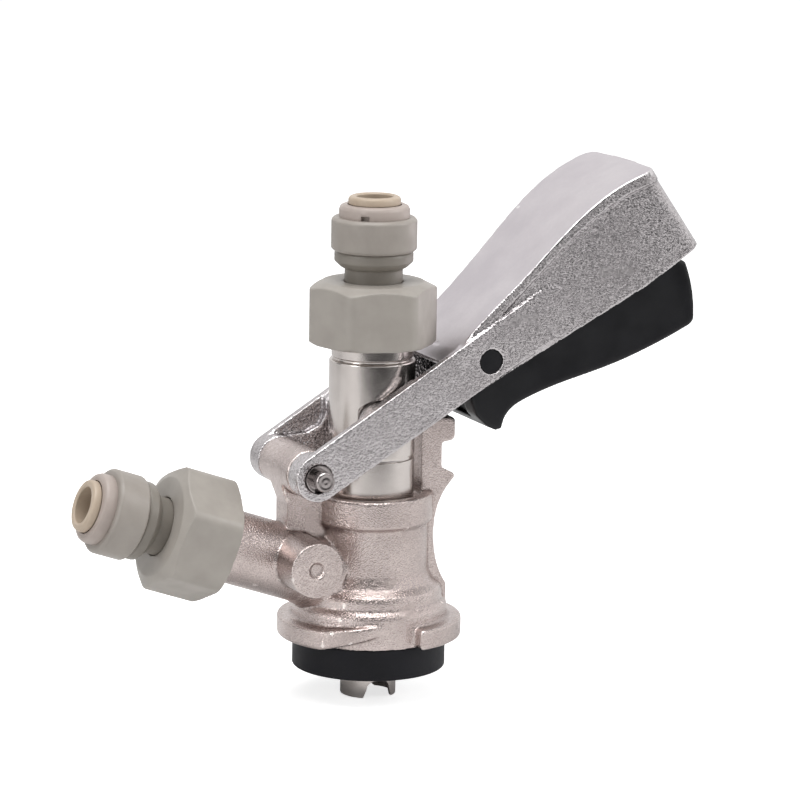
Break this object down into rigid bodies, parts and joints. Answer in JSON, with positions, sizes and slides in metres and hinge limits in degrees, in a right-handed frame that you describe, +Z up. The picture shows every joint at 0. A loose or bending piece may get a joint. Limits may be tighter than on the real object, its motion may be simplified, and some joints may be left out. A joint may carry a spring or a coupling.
{
  "type": "keg coupler",
  "caption": "Bayonet keg coupler: cast body with angled gas port, sliding beer probe worked by a forked paddle handle with a squeeze release, and push-fit tube connectors.",
  "frame": {"origin": "on the probe's axis, in the bottom face of the keg seal", "axes": "+Z up along the probe, +X towards the free end of the handle, +Y across the handle's fork"},
  "size_m": [0.1727, 0.048, 0.1415],
  "materials": {
    "cast_nickel": "nickel-plated brass casting, fine blasted grain",
    "cast_chrome": "satin chrome-plated casting, polished edges",
    "turned_steel": "turned and polished stainless steel",
    "nut_acetal": "moulded acetal, mid warm grey",
    "spring_steel": "drawn spring wire",
    "seal_rubber": "black nitrile rubber",
    "valve_rubber": "black silicone rubber",
    "lever_plastic": "black glass-filled nylon, satin",
    "acetal": "moulded acetal, pale warm grey",
    "ball_plastic": "natural plastic ball"
  },
  "bodies": {
    "body": {"body": "cast_nickel", "body_seal": "seal_rubber", "hinge_pin": "turned_steel", "hinge_clip": "spring_steel", "gas_check_valve": "valve_rubber", "gas_nut": "nut_acetal", "gas_stem": "acetal", "gas_cap": "acetal", "gas_retainer": "acetal", "gas_tube_o_ring": "seal_rubber", "gas_washer": "seal_rubber"},
    "handle": {"handle": "cast_chrome", "lever_pin": "lever_plastic", "lever_spring": "spring_steel"},
    "release_lever": {"release_lever": "lever_plastic"},
    "probe": {"probe": "turned_steel", "probe_o_ring_lower": "seal_rubber", "probe_o_ring_upper": "seal_rubber", "ball_stop": "acetal", "beer_nut": "nut_acetal", "beer_stem": "acetal", "beer_cap": "acetal", "beer_retainer": "acetal", "beer_tube_o_ring": "seal_rubber", "beer_washer": "seal_rubber"},
    "beer_collet": {"beer_collet": "acetal"},
    "gas_collet": {"gas_collet": "acetal"},
    "beer_check_ball": {"beer_check_ball": "ball_plastic"}
  },
  "joints": [
    {"name": "handle_swing", "type": "hinge", "parent": "body", "child": "handle", "pos_m": [-0.022, 0, 0.0553], "axis": [0, 1, 0], "range_deg": [0, 28.5]},
    {"name": "probe_slide", "type": "slide", "parent": "body", "child": "probe", "axis": [0, 0, -1], "range_m": [0, 0.01091]},
    {"name": "lever_squeeze", "type": "hinge", "parent": "handle", "child": "release_lever", "pos_m": [0.0272, 0, 0.0833], "axis": [0, -1, 0], "range_deg": [-6.5, 6], "stiffness_Nm_per_rad": 1.5},
    {"name": "beer_collet_press", "type": "slide", "parent": "probe", "child": "beer_collet", "axis": [0, 0, -1], "range_m": [0, 0.0012]},
    {"name": "gas_collet_press", "type": "slide", "parent": "body", "child": "gas_collet", "axis": [0.9444, 0, -0.3289], "range_m": [0, 0.0012]},
    {"name": "ball_lift", "type": "slide", "parent": "probe", "child": "beer_check_ball", "axis": [0, 0, 1], "range_m": [0, 0.0025]}
  ],
  "couplings": [
    {"joint": "probe_slide", "follows": "handle_swing", "m_per_rad": 0.021893}
  ]
}
